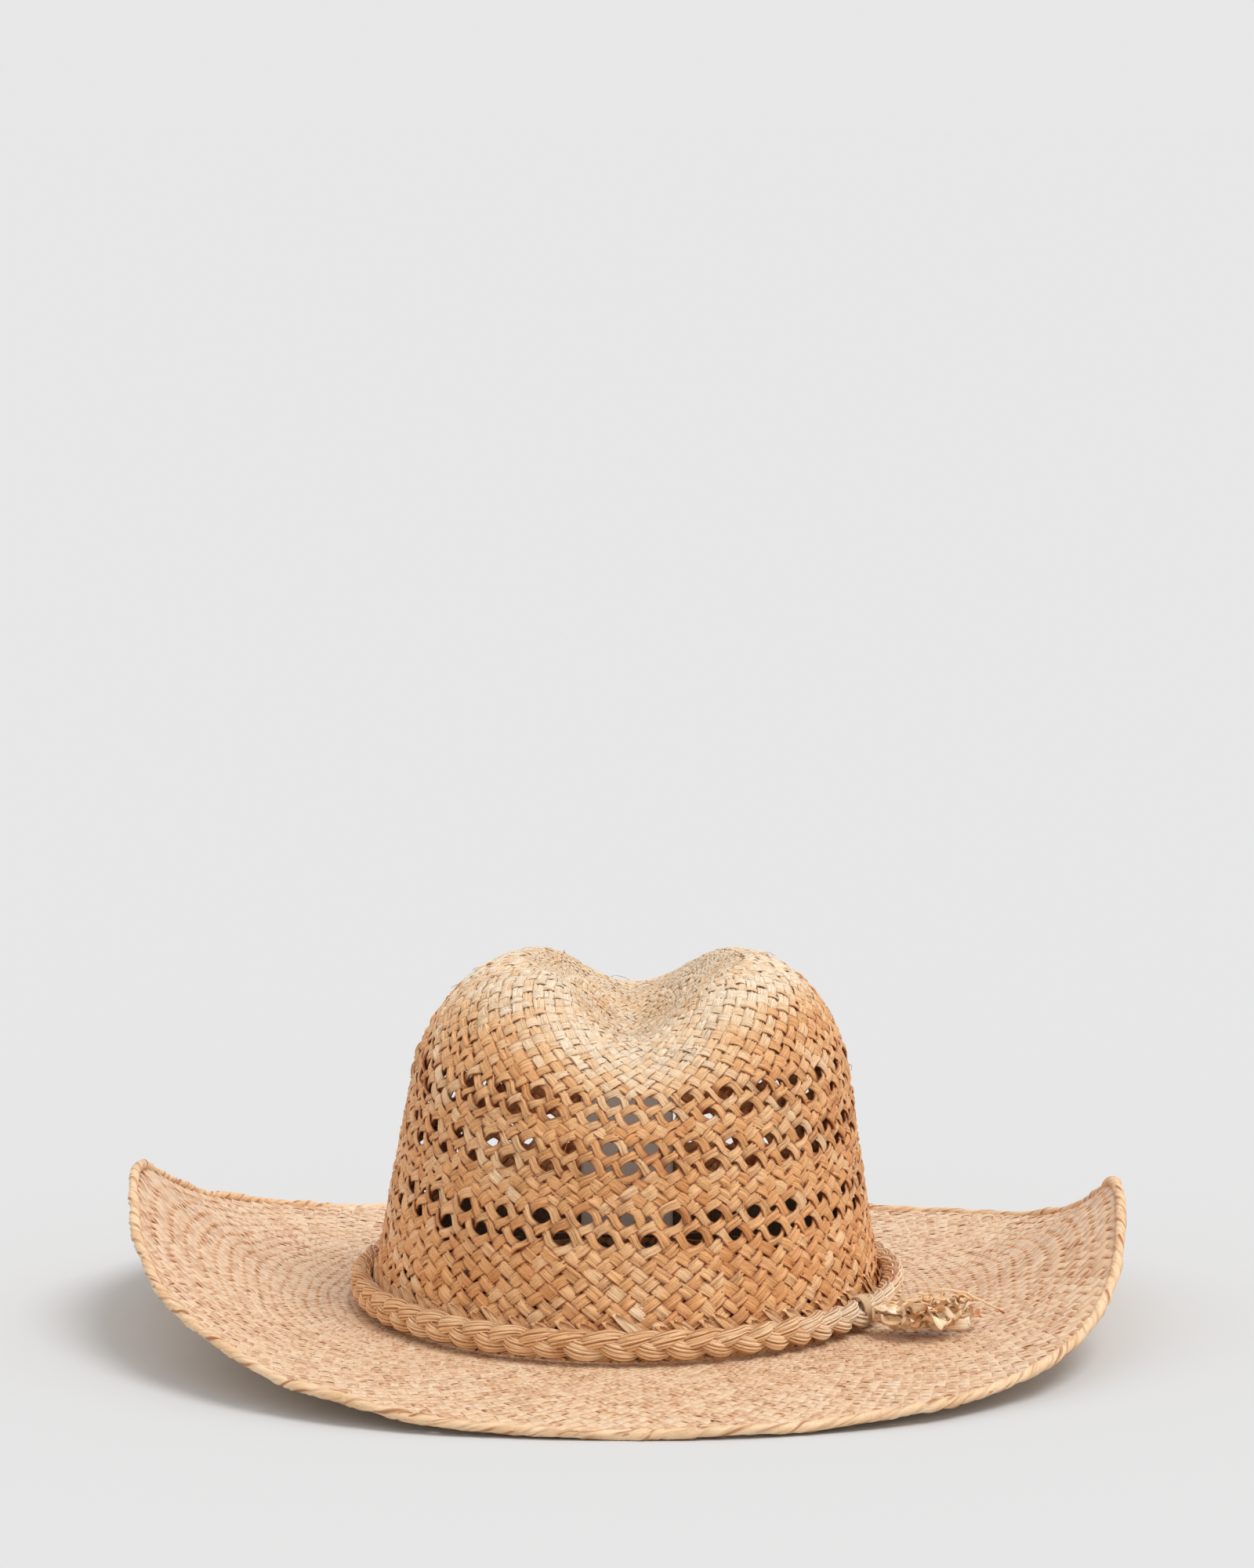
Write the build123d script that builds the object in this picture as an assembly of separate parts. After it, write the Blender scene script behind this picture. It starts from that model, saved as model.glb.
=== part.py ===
from build123d import *
import math
import os

# A woven straw cowboy hat. Millimetres, +Z up, front towards -Y, origin under the middle of the hat
# at the height of the surface it stands on. Every soft piece is a plain closed solid of its true
# outer size.

# --- Head opening and crown ---------------------------------------------------------------------
FOOT_HALF_WIDTH = 87.5  # outside of the crown at its foot, along X
FOOT_HALF_DEPTH = 104.0  # the same along Y
CROWN_HEIGHT_SIDE = 118.0  # the ridge over each side, above the foot
CROWN_HEIGHT_END = 99.0  # the ridge at front and back, mean of the two
CROWN_END_DIFFERENCE = 2.0  # the back ridge is higher and the front one lower by this
CREASE_BOTTOM = 89.0  # bottom of the crease along the top
WALL_TAPER = 0.00192  # share of the foot's size that the wall loses per mm of height
SHOULDER_HEIGHT = 40.0  # height of the rounding between wall and ridge
SHOULDER_INSET = 0.346  # share of the foot's size that the rounding takes
CROWN_LEAN = 2.3  # how far the crown leans towards +X at 100 mm above the foot
RIDGE_SHARPNESS = 2.6  # how suddenly the ridge drops at front and back
WEAVE_THICKNESS = 2.0
FOOT_EXTENSIONS = (20.0, 10.0)  # depths below the foot to which the wall is carried on before it is cut
WALL_PARTS = (0.1, 0.4, 0.7, 1.0)  # places up the wall where the crown's curves are drawn
SHOULDER_TURNS = (22.0, 45.0, 67.0, 90.0)  # the same round the rounding, in degrees
CREASE_PARTS = (0.85, 0.65, 0.45, 0.25)  # the same from the ridge to the middle
CREASE_MIDDLE_SHARE = 0.03  # size of the last, level curve in the middle of the crease

# --- Brim ---------------------------------------------------------------------------------------
EDGE_HALF_WIDTH = 168.0  # centre line of the edge roll, along X
EDGE_HALF_DEPTH = 184.0  # the same along Y
EDGE_SQUARENESS = 2.3  # exponent of the brim's outline; 2 would be an ellipse
SIDE_RISE = 41.0  # mean rise of the brim's edge at the sides, above the crown's foot
SIDE_RISE_DIFFERENCE = 3.0  # the wearer's right side rises more and the left one less by this
END_DROP = 4.3  # how far the brim falls at front and back
BROAD_SHARE = 0.585  # share of the sides' rise that spreads widely towards front and back
BROAD_SHARE_DIFFERENCE = 0.135  # the wearer's right side spreads more and the left one less by this
BROAD_EXPONENT = 3
TIGHT_EXPONENT = 14  # of the rest of the rise, which stays close to each side's middle
CORNER_LIFT = 4.0  # extra rise of the edge between the front and the wearer's right
SIDE_CURL = 2.2  # exponent of the brim's rise from crown to edge
END_CURL = 1.5  # exponent of the brim's fall
BRIM_THICKNESS = 2.4
BRIM_MARGIN = 8.0  # how far the brim's surface is drawn past the edge before it is cut to its outline
CUT_LOW = -20.0  # the upright columns that cut the brim stand on this level
CUT_HEIGHT = 120.0
ROLL_RADIUS = 2.1
ROLL_CENTRE_BELOW_TOP = 1.1  # the roll's centre lies this far under the brim's top surface
FOOT_Z = END_DROP + ROLL_CENTRE_BELOW_TOP + ROLL_RADIUS  # the roll rests on z = 0

# --- Wire in the edge roll ----------------------------------------------------------------------
WIRE_RADIUS = 0.6
WIRE_CHANNEL_RADIUS = 0.7
SLEEVE_LENGTH = 12.0
SLEEVE_RADIUS = 1.4
SLEEVE_BORE_RADIUS = 0.85
SLEEVE_POCKET = 0.1  # room round the sleeve inside the roll

# --- Strip ends, sweatband and label ------------------------------------------------------------
ENDS_BOTTOM = 7.0
ENDS_TOP = 14.0
ENDS_THICKNESS = 0.8
SWEATBAND_BOTTOM = 0.0
SWEATBAND_TOP = 21.0
SWEATBAND_THICKNESS = 1.0
SWEATBAND_GAP = 0.5  # between the sweatband and the foot of the tapered crown
SEWN_GAP = 0.1  # between two sewn pieces that follow the same curve
STITCH_COUNT = 56
STITCH_LENGTH = 5.0
STITCH_RADIUS = 0.3
STITCH_HEIGHT = 2.0
LABEL_WIDTH = 33.0
LABEL_HEIGHT = 55.0
LABEL_THICKNESS = 0.6
LABEL_BOTTOM = 1.0
LABEL_CENTRE_Y = 97.8  # outer face of the label at its lower edge
LABEL_LEAN = 10.0  # degrees that the label leans in, as the crown's wall does
LABEL_STITCH_COUNT = 7
LABEL_STITCH_HEIGHT = 2.5

# --- Hat band and tassel ------------------------------------------------------------------------
BAND_HALF_WIDTH = 91.0  # middle of the plait, along X
BAND_HALF_DEPTH = 109.0  # the same along Y
BAND_THICKNESS = 6.0
BAND_HEIGHT = 10.5
BAND_ROUNDING = 2.4
BAND_GAP = 0.8  # between the plait and the brim
JOINT_WRAP_LENGTH = 9.0
JOINT_WRAP_WALL = 0.4
TASSEL_ANGLE = -31.5  # degrees round the band from +X where the tassel leaves it
TASSEL_HEADING = -19.0  # degrees from +X in which the tassel points
TASSEL_TILT = 5.0  # degrees that it rises outwards over the curl of the brim
KNOT_RADIUS = 4.0
KNOT_GAP = 0.9  # between the knot and the band's wrap, and between the knot and the fan
FAN_LENGTH = 28.0
FAN_ROOT = (7.0, 6.0)  # width and thickness where the fan leaves the knot
FAN_WIDEST = (20.0, 8.5)
FAN_TIP = (23.0, 7.0)
STRAND_RADIUS = 0.6
STRAND_START = (12.0, 2.0, 6.0)  # along, across and above the fan, from the knot's middle
STRAND_MIDDLE = (27.0, 3.0, 6.4)
STRAND_TIP = (40.0, 5.0, -2.0)

# --- How finely the free-form surfaces are described --------------------------------------------
RING_POINTS = 32
ROLL_SECTIONS = 25  # sections in each half of the edge roll
ROLL_SIDES = 12  # the roll and the wire are many-sided bars
WIRE_SIDES = 6
BRIM_GRID = 41  # points along each side of the brim's surface


def ridge_height(angle):
    """Height of the crown's ridge above the foot, at an angle round the crown."""
    end = CROWN_HEIGHT_END + CROWN_END_DIFFERENCE * math.sin(angle)
    side_share = 1 - abs(math.sin(angle)) ** (2 * RIDGE_SHARPNESS)
    return end + (CROWN_HEIGHT_SIDE - end) * side_share


def crown_point(angle, share, height, inset):
    """A point of the crown's surface; share is its size against the foot's."""
    x = (FOOT_HALF_WIDTH - inset) * share * math.cos(angle)
    y = (FOOT_HALF_DEPTH - inset) * share * math.sin(angle)
    lean = CROWN_LEAN * (height / 100) ** 2
    return (x + lean, y, FOOT_Z + height - inset)


def wall_place(angle, part):
    """Size and height on the crown's wall; part runs from 0 at the foot to 1 at the shoulder."""
    height = part * (ridge_height(angle) - SHOULDER_HEIGHT)
    return 1 - WALL_TAPER * height, height


def shoulder_place(angle, turn):
    """Size and height on the rounding; turn runs from 0 at the wall to 90 degrees at the ridge."""
    rise = SHOULDER_HEIGHT * math.sin(math.radians(turn))
    height = ridge_height(angle) - SHOULDER_HEIGHT + rise
    share = 1 - WALL_TAPER * height - SHOULDER_INSET * (1 - math.cos(math.radians(turn)))
    return share, height


def crease_place(angle, part):
    """Size and height in the crease; part runs from 1 at the ridge to 0 in the middle."""
    ridge = ridge_height(angle)
    share = (1 - WALL_TAPER * ridge - SHOULDER_INSET) * part
    height = CREASE_BOTTOM + (ridge - CREASE_BOTTOM) * part * part * (3 - 2 * part)
    return share, height


def closed_curve(points):
    return Wire([Edge.make_spline(points, periodic=True)])


def crown_ring(place, part, inset):
    """One closed curve round the crown's surface."""
    angles = [2 * math.pi * i / RING_POINTS for i in range(RING_POINTS)]
    return closed_curve([crown_point(a, *place(a, part), inset) for a in angles])


def flat_ring(share, height, inset):
    """A closed level curve of the crown's oval."""
    angles = [2 * math.pi * i / RING_POINTS for i in range(RING_POINTS)]
    return closed_curve([crown_point(a, share, height, inset) for a in angles])


def crown_body(inset):
    """The crown as a solid block, smaller by inset all round; it reaches below the foot."""
    rings = [flat_ring(1 + WALL_TAPER * depth, -depth, inset) for depth in FOOT_EXTENSIONS]
    rings += [crown_ring(wall_place, part, inset) for part in WALL_PARTS]
    rings += [crown_ring(shoulder_place, turn, inset) for turn in SHOULDER_TURNS]
    rings += [crown_ring(crease_place, part, inset) for part in CREASE_PARTS]
    rings.append(flat_ring(CREASE_MIDDLE_SHARE, CREASE_BOTTOM, inset))
    return Solid.make_loft(rings)


def make_crown_weave():
    shell = crown_body(0.0).cut(crown_body(WEAVE_THICKNESS))
    side = 3 * FOOT_HALF_DEPTH
    below = Pos(0, 0, FOOT_Z - side / 2) * Box(side, side, side)
    return shell - below


def outline_radius(angle, half_width, half_depth, exponent):
    """Distance from the middle to a rounded outline, at a plan angle."""
    across = (abs(math.cos(angle)) / half_width) ** exponent
    along = (abs(math.sin(angle)) / half_depth) ** exponent
    return (across + along) ** (-1 / exponent)


def brim_top(x, y):
    """Height of the brim's top surface."""
    angle = math.atan2(y, x)
    foot = outline_radius(angle, FOOT_HALF_WIDTH, FOOT_HALF_DEPTH, 2)
    edge = outline_radius(angle, EDGE_HALF_WIDTH, EDGE_HALF_DEPTH, EDGE_SQUARENESS)
    part = max(0.0, (math.hypot(x, y) - foot) / (edge - foot))
    sideways = abs(math.cos(angle))
    broad = BROAD_SHARE - BROAD_SHARE_DIFFERENCE * math.cos(angle)
    curl_share = broad * sideways ** BROAD_EXPONENT + (1 - broad) * sideways ** TIGHT_EXPONENT
    rise = SIDE_RISE - SIDE_RISE_DIFFERENCE * math.cos(angle)
    up = rise * curl_share * part ** SIDE_CURL
    down = END_DROP * (1 - curl_share) * part ** END_CURL
    cornerwise = max(0.0, -math.cos(angle)) * max(0.0, -math.sin(angle)) * 2
    return FOOT_Z + up - down + CORNER_LIFT * (cornerwise * part) ** 2


def edge_point(angle):
    """A point on the centre line of the edge roll."""
    radius = outline_radius(angle, EDGE_HALF_WIDTH, EDGE_HALF_DEPTH, EDGE_SQUARENESS)
    x = radius * math.cos(angle)
    y = radius * math.sin(angle)
    return Vector(x, y, brim_top(x, y) - ROLL_CENTRE_BELOW_TOP)


def edge_plane(angle):
    """The plane square to the edge roll."""
    step = 0.01
    along = edge_point(angle + step) - edge_point(angle - step)
    outwards = Vector(math.cos(angle), math.sin(angle), 0)
    return Plane(origin=edge_point(angle), x_dir=outwards, z_dir=along)


def polygon_section(plane, radius, sides):
    """A regular polygon that a circle of this radius just fits round."""
    turns = [2 * math.pi * i / sides for i in range(sides)]
    corners = [Vector(radius * math.cos(t), radius * math.sin(t)) for t in turns]
    return Wire.make_polygon([plane.from_local_coords(corner) for corner in corners])


def edge_tube(radius, sides):
    """A bar that follows the brim's edge, from two half loops that meet at the sides."""
    halves = []
    for start in (0.0, math.pi):
        angles = [start + math.pi * i / (ROLL_SECTIONS - 1) for i in range(ROLL_SECTIONS)]
        halves.append(Solid.make_loft([polygon_section(edge_plane(a), radius, sides) for a in angles]))
    return halves[0].fuse(halves[1])


def make_brim_weave():
    reach_x = EDGE_HALF_WIDTH + BRIM_MARGIN
    reach_y = EDGE_HALF_DEPTH + BRIM_MARGIN
    columns = [-1 + 2 * i / (BRIM_GRID - 1) for i in range(BRIM_GRID)]
    grid = [[Vector(u * reach_x, v * reach_y, brim_top(u * reach_x, v * reach_y)) for v in columns]
            for u in columns]
    top = Face.make_surface_from_array_of_points(grid)
    slab = Solid.extrude(top, Vector(0, 0, -BRIM_THICKNESS))
    inset = ROLL_RADIUS + SEWN_GAP
    angles = [2 * math.pi * i / RING_POINTS for i in range(RING_POINTS)]
    outline = []
    for angle in angles:
        radius = outline_radius(angle, EDGE_HALF_WIDTH, EDGE_HALF_DEPTH, EDGE_SQUARENESS) - inset
        outline.append((radius * math.cos(angle), radius * math.sin(angle), CUT_LOW))
    column = Solid.extrude(Face(closed_curve(outline)), Vector(0, 0, CUT_HEIGHT))
    opening = oval_column(WEAVE_THICKNESS, CUT_LOW, CUT_HEIGHT)
    return slab.intersect(column)[0].cut(opening)


def oval_wire(half_width, half_depth, height):
    return Wire.make_ellipse(half_width, half_depth, Plane.XY.offset(height))


def oval_column(inset, low, height):
    """An upright oval column, smaller than the crown's foot by inset."""
    wire = oval_wire(FOOT_HALF_WIDTH - inset, FOOT_HALF_DEPTH - inset, low)
    return Solid.extrude(Face(wire), Vector(0, 0, height))


def wall_ring(low, high, inner, outer):
    """A ring that follows the crown's tapered wall; inner and outer are insets from its outside."""
    blocks = []
    for inset, margin in ((outer, 0.0), (inner, 1.0)):
        wires = []
        for height in (low - margin, high + margin):
            share = 1 - WALL_TAPER * height
            half_width = (FOOT_HALF_WIDTH - inset) * share
            half_depth = (FOOT_HALF_DEPTH - inset) * share
            wires.append(oval_wire(half_width, half_depth, FOOT_Z + height))
        blocks.append(Solid.make_loft(wires, ruled=True))
    return blocks[0].cut(blocks[1])


def make_crown_foot_ends():
    return wall_ring(ENDS_BOTTOM, ENDS_TOP, -SEWN_GAP, -SEWN_GAP - ENDS_THICKNESS)


def make_sweatband():
    outer = WEAVE_THICKNESS + SWEATBAND_GAP
    return wall_ring(SWEATBAND_BOTTOM, SWEATBAND_TOP, outer + SWEATBAND_THICKNESS, outer)


def make_sweatband_stitches():
    """Stitches that lie on the sweatband's inner face, near its lower edge."""
    inset = WEAVE_THICKNESS + SWEATBAND_GAP + SWEATBAND_THICKNESS + SEWN_GAP + STITCH_RADIUS
    height = STITCH_HEIGHT
    share = 1 - WALL_TAPER * height
    stitches = []
    for i in range(STITCH_COUNT):
        angle = 2 * math.pi * (i + 0.5) / STITCH_COUNT
        x = (FOOT_HALF_WIDTH - inset) * share * math.cos(angle)
        y = (FOOT_HALF_DEPTH - inset) * share * math.sin(angle)
        if y > 0 and abs(x) < LABEL_WIDTH / 2 + STITCH_LENGTH:
            continue  # the label's own stitches are here
        along = Vector(-FOOT_HALF_WIDTH * math.sin(angle), FOOT_HALF_DEPTH * math.cos(angle), 0)
        start = Vector(x, y, FOOT_Z + height) - along.normalized() * (STITCH_LENGTH / 2)
        stitches.append(Solid.make_cylinder(STITCH_RADIUS, STITCH_LENGTH, Plane(start, z_dir=along)))
    return Compound(stitches)


def label_plane():
    """The label's outer face: x across, y up, z towards the back; its origin is the hinge line."""
    origin = Vector(0, LABEL_CENTRE_Y, FOOT_Z + LABEL_BOTTOM)
    lean = math.radians(LABEL_LEAN)
    backwards = Vector(0, math.cos(lean), math.sin(lean))
    return Plane(origin=origin, x_dir=(-1, 0, 0), z_dir=backwards)


def make_main_label():
    slab = Box(LABEL_WIDTH, LABEL_HEIGHT, LABEL_THICKNESS, align=(Align.CENTER, Align.MIN, Align.MAX))
    corners = slab.edges().filter_by(Axis.Z)
    return label_plane() * fillet(corners, 1.0)


def make_label_stitches():
    """Stitches through the label's lower edge, on its inner face."""
    pitch = LABEL_WIDTH / LABEL_STITCH_COUNT
    depth = LABEL_THICKNESS + SEWN_GAP + STITCH_RADIUS
    stitches = []
    for i in range(LABEL_STITCH_COUNT):
        x = (i - (LABEL_STITCH_COUNT - 1) / 2) * pitch
        length = 0.6 * pitch
        stitch = Cylinder(STITCH_RADIUS, length, rotation=(0, 90, 0))
        stitches.append(label_plane() * Pos(x, LABEL_STITCH_HEIGHT, -depth) * stitch)
    return Compound([solid for stitch in stitches for solid in stitch.solids()])


def make_brim_wire():
    return edge_tube(WIRE_RADIUS, WIRE_SIDES)


def sleeve_plane():
    back = edge_point(math.pi / 2)
    return Plane(origin=back - Vector(SLEEVE_LENGTH / 2, 0, 0), z_dir=(1, 0, 0))


def make_wire_sleeve():
    outer = Solid.make_cylinder(SLEEVE_RADIUS, SLEEVE_LENGTH, sleeve_plane())
    return outer.cut(Solid.make_cylinder(SLEEVE_BORE_RADIUS, SLEEVE_LENGTH, sleeve_plane()))


def make_edge_roll():
    pocket_plane = sleeve_plane().offset(-SLEEVE_POCKET)
    pocket_length = SLEEVE_LENGTH + 2 * SLEEVE_POCKET
    pocket = Solid.make_cylinder(SLEEVE_RADIUS + SLEEVE_POCKET, pocket_length, pocket_plane)
    channel = edge_tube(WIRE_CHANNEL_RADIUS, WIRE_SIDES)
    return edge_tube(ROLL_RADIUS, ROLL_SIDES).cut(channel, pocket)


def band_ring(thickness, low, height):
    """An oval tube round the band's middle line."""
    outer = oval_wire(BAND_HALF_WIDTH + thickness / 2, BAND_HALF_DEPTH + thickness / 2, low)
    inner = oval_wire(BAND_HALF_WIDTH - thickness / 2, BAND_HALF_DEPTH - thickness / 2, low)
    return Solid.extrude(Face(outer, [inner]), Vector(0, 0, height))


def make_hat_band_plait():
    ring = band_ring(BAND_THICKNESS, FOOT_Z + BAND_GAP, BAND_HEIGHT)
    rims = [edge for edge in ring.edges() if edge.geom_type == GeomType.ELLIPSE]
    return ring.fillet(BAND_ROUNDING, rims)


def tassel_root():
    """The point on the band's middle line where the tassel leaves it, and the way out of the band."""
    angle = math.radians(TASSEL_ANGLE)
    middle = Vector(BAND_HALF_WIDTH * math.cos(angle), BAND_HALF_DEPTH * math.sin(angle),
                    FOOT_Z + BAND_GAP + BAND_HEIGHT / 2)
    outwards = Vector(math.cos(angle) / BAND_HALF_WIDTH, math.sin(angle) / BAND_HALF_DEPTH, 0)
    return middle, outwards.normalized()


def make_band_joint_wrap():
    """A thin winding all round the plait where its two ends meet."""
    wall = JOINT_WRAP_WALL
    cover = band_ring(BAND_THICKNESS + 2 * wall, FOOT_Z + BAND_GAP - wall, BAND_HEIGHT + 2 * wall)
    middle, outwards = tassel_root()
    block = Box(4 * BAND_THICKNESS, JOINT_WRAP_LENGTH, 4 * BAND_HEIGHT)
    block = Plane(origin=middle, x_dir=outwards, z_dir=(0, 0, 1)) * block
    return block & cover - make_hat_band_plait()


def knot_centre():
    middle, outwards = tassel_root()
    reach = BAND_THICKNESS / 2 + JOINT_WRAP_WALL + KNOT_GAP + KNOT_RADIUS
    return middle + outwards * reach


def tassel_plane():
    """The fan's plane: x along the fan, y across it, z up."""
    heading = math.radians(TASSEL_HEADING)
    across = Vector(-math.sin(heading), math.cos(heading), 0)
    tilt = math.radians(TASSEL_TILT)
    level = math.cos(tilt)
    along = Vector(level * math.cos(heading), level * math.sin(heading), math.sin(tilt))
    return Plane(origin=knot_centre(), x_dir=along, z_dir=along.cross(across))


def make_tassel_wrap():
    return Solid.make_sphere(KNOT_RADIUS, Plane(knot_centre()), angle1=-90, angle2=90)


def make_tassel_ends():
    """The straw ends as one flat fan."""
    base = tassel_plane()
    start = KNOT_RADIUS + KNOT_GAP
    wires = []
    for reach, (width, thickness) in ((start, FAN_ROOT), (start + 0.6 * FAN_LENGTH, FAN_WIDEST),
                                      (start + FAN_LENGTH, FAN_TIP)):
        place = Plane(origin=base.origin + base.x_dir * reach, x_dir=base.y_dir, z_dir=base.x_dir)
        wires.append(Wire.make_ellipse(width / 2, thickness / 2, place))
    return Solid.make_loft(wires)


def make_tassel_long_strand():
    """One thin strand that leaves the top of the fan and bows over, past its end."""
    base = tassel_plane()
    places = (STRAND_START, STRAND_MIDDLE, STRAND_TIP)
    path = Edge.make_three_point_arc(*[base.from_local_coords(Vector(*place)) for place in places])
    return sweep(Plane(origin=path @ 0, z_dir=path % 0) * Circle(STRAND_RADIUS), path)


os.makedirs("parts", exist_ok=True)
NODES = {
    "crown_weave": make_crown_weave,
    "crown_foot_ends": make_crown_foot_ends,
    "brim_weave": make_brim_weave,
    "edge_roll": make_edge_roll,
    "brim_wire": make_brim_wire,
    "wire_sleeve": make_wire_sleeve,
    "sweatband": make_sweatband,
    "sweatband_stitches": make_sweatband_stitches,
    "main_label": make_main_label,
    "label_stitches": make_label_stitches,
    "hat_band_plait": make_hat_band_plait,
    "band_joint_wrap": make_band_joint_wrap,
    "tassel_wrap": make_tassel_wrap,
    "tassel_ends": make_tassel_ends,
    "tassel_long_strand": make_tassel_long_strand,
}
for node, make in NODES.items():
    export_step(make(), f"parts/{node}.step")
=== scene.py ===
"""Woven straw cowboy hat: its looks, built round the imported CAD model.

Shapes are worked out in millimetres in the model's own frame (+Z up, front of the hat towards -Y)
and turned into metres when a mesh is made. The straw is real geometry: every strip of the crown
and brim is a thin closed ribbon that passes over and under the strips it crosses.
"""
import math

import bpy
import numpy as np
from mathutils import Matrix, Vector


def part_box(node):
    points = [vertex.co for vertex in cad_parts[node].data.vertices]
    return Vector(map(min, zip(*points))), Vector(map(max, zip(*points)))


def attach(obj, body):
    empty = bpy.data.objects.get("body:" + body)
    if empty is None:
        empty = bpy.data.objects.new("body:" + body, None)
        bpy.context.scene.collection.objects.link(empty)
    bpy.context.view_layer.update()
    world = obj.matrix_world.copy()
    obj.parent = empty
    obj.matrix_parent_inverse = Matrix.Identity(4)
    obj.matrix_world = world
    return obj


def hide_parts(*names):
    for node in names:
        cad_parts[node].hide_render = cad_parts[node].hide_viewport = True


MM = 0.001
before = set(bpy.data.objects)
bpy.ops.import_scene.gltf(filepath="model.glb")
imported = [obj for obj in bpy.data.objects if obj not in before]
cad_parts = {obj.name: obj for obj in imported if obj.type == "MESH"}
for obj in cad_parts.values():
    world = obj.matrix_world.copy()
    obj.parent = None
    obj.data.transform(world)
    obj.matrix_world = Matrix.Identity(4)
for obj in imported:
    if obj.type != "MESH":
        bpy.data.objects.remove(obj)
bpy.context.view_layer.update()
rng = np.random.default_rng(7)


def cad_box(node):
    """Lowest and highest corner of a CAD node, in millimetres."""
    low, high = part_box(node)
    return np.array(low) / MM, np.array(high) / MM


CROWN_LOW, CROWN_HIGH = cad_box("crown_weave")
ROLL_LOW, ROLL_HIGH = cad_box("edge_roll")
BAND_LOW, BAND_HIGH = cad_box("hat_band_plait")
SWEAT_LOW, SWEAT_HIGH = cad_box("sweatband")
LABEL_LOW, LABEL_HIGH = cad_box("main_label")
KNOT_LOW, KNOT_HIGH = cad_box("tassel_wrap")
FAN_LOW, FAN_HIGH = cad_box("tassel_ends")

# --- The hat's own shape, as in the CAD model, mm ---
FOOT = CROWN_HIGH[:2].copy()  # half width and half depth of the crown at its foot
FOOT_Z = CROWN_LOW[2]
CROWN_HEIGHT_SIDE = CROWN_HIGH[2] - FOOT_Z - 0.8  # the weave stands a little above its middle surface
CROWN_HEIGHT_END = 99.0
CROWN_END_DIFFERENCE = 2.0
CREASE_BOTTOM = 89.0
CROWN_LEAN = 2.3  # how far the crown leans towards +X at 100 mm above the foot
WALL_TAPER = 0.00192
SHOULDER_HEIGHT = 40.0
SHOULDER_INSET = 0.346
RIDGE_SHARPNESS = 2.6
ROLL_RADIUS = 2.1
EDGE = ROLL_HIGH[:2] - ROLL_RADIUS  # half width and half depth of the roll's middle line
EDGE_SQUARENESS = 2.3
SIDE_RISE = 41.0
SIDE_RISE_DIFFERENCE = 3.0
END_DROP = 4.3
BROAD_SHARE = 0.585  # share of the sides' rise that spreads widely towards front and back
BROAD_SHARE_DIFFERENCE = 0.135
BROAD_EXPONENT = 3
TIGHT_EXPONENT = 14  # of the rest of the rise, which stays close to each side's middle
CORNER_LIFT = 4.0
SIDE_CURL = 2.2
END_CURL = 1.5
ROLL_CENTRE_BELOW_TOP = 1.1

# --- The weave ---
CROWN_STRIPS = 64  # strips in each of the two diagonal families
CROWN_SLOPE = 0.678  # tangent of the strips' angle on the wall
CROWN_INSET = 0.9  # the weave's middle lies this far inside the CAD model's outer face
RIDGE_ROW = 46  # crossings from the foot to the ridge
FIRST_THINNING_ROW = 60  # from here only every second strip goes on
SECOND_THINNING_ROW = 72
THIRD_THINNING_ROW = 80
LAST_ROW = 86
FIRST_THINNING_SHARE = 0.65  # of the way from the crease's middle to the ridge
LEVEL_ROWS = 22  # up to here the rows are level; above it they even out towards the ridge
VENT_ROWS = (13, 15, 21, 23, 27, 29)
VENT_RADIUS = 3.9
VENT_SHRINK = 0.08  # share by which each pair of rows above the lowest has smaller vents
VENT_VARIATION = 0.10
VENT_FALLOFF = 2.6  # the higher, the sooner a vent stops pushing strips aside
VENT_PUSH_ROUND = 1.05  # share of the push that goes round the crown, and up or down it
VENT_PUSH_UP = 0.72
BRIM_STRIPS = 192
BRIM_SECTORS = 4  # the brim's strips are made in this many objects for each direction
BRIM_INSET = 1.0
BRIM_SWIRL = 0.18  # how far the rows of the brim's weave wander, in rows
PAINTED_SLIT_CHANCE = 0.13  # share of the brim's crossings with a short dark line of painted shade beside them, where a narrow gap would show
WAVE = 0.120  # height of the crown's over-and-under wave, as a share of the strips' spacing
BRIM_WAVE = 0.062


def smooth(x, low, high):
    """0 below low, 1 above high, with a smooth step between."""
    t = np.clip((x - low) / (high - low), 0, 1)
    return t * t * (3 - 2 * t)


def unit(v):
    return v / np.maximum(np.linalg.norm(v, axis=-1, keepdims=True), 1e-9)


def outline_radius(angle, half, exponent):
    """Distance from the middle to a rounded outline, at a plan angle."""
    across = (np.abs(np.cos(angle)) / half[0]) ** exponent
    along = (np.abs(np.sin(angle)) / half[1]) ** exponent
    return (across + along) ** (-1 / exponent)


def even_angles(count, half, exponent=2):
    """Plan angles that divide an outline into equal lengths, as a periodic lookup."""
    fine = np.linspace(0, 2 * np.pi, 4001)
    radius = outline_radius(fine, half, exponent)
    x, y = radius * np.cos(fine), radius * np.sin(fine)
    length = np.concatenate([[0], np.cumsum(np.hypot(np.diff(x), np.diff(y)))])
    return np.interp(np.arange(count) * length[-1] / count, length, fine), length[-1]


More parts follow.
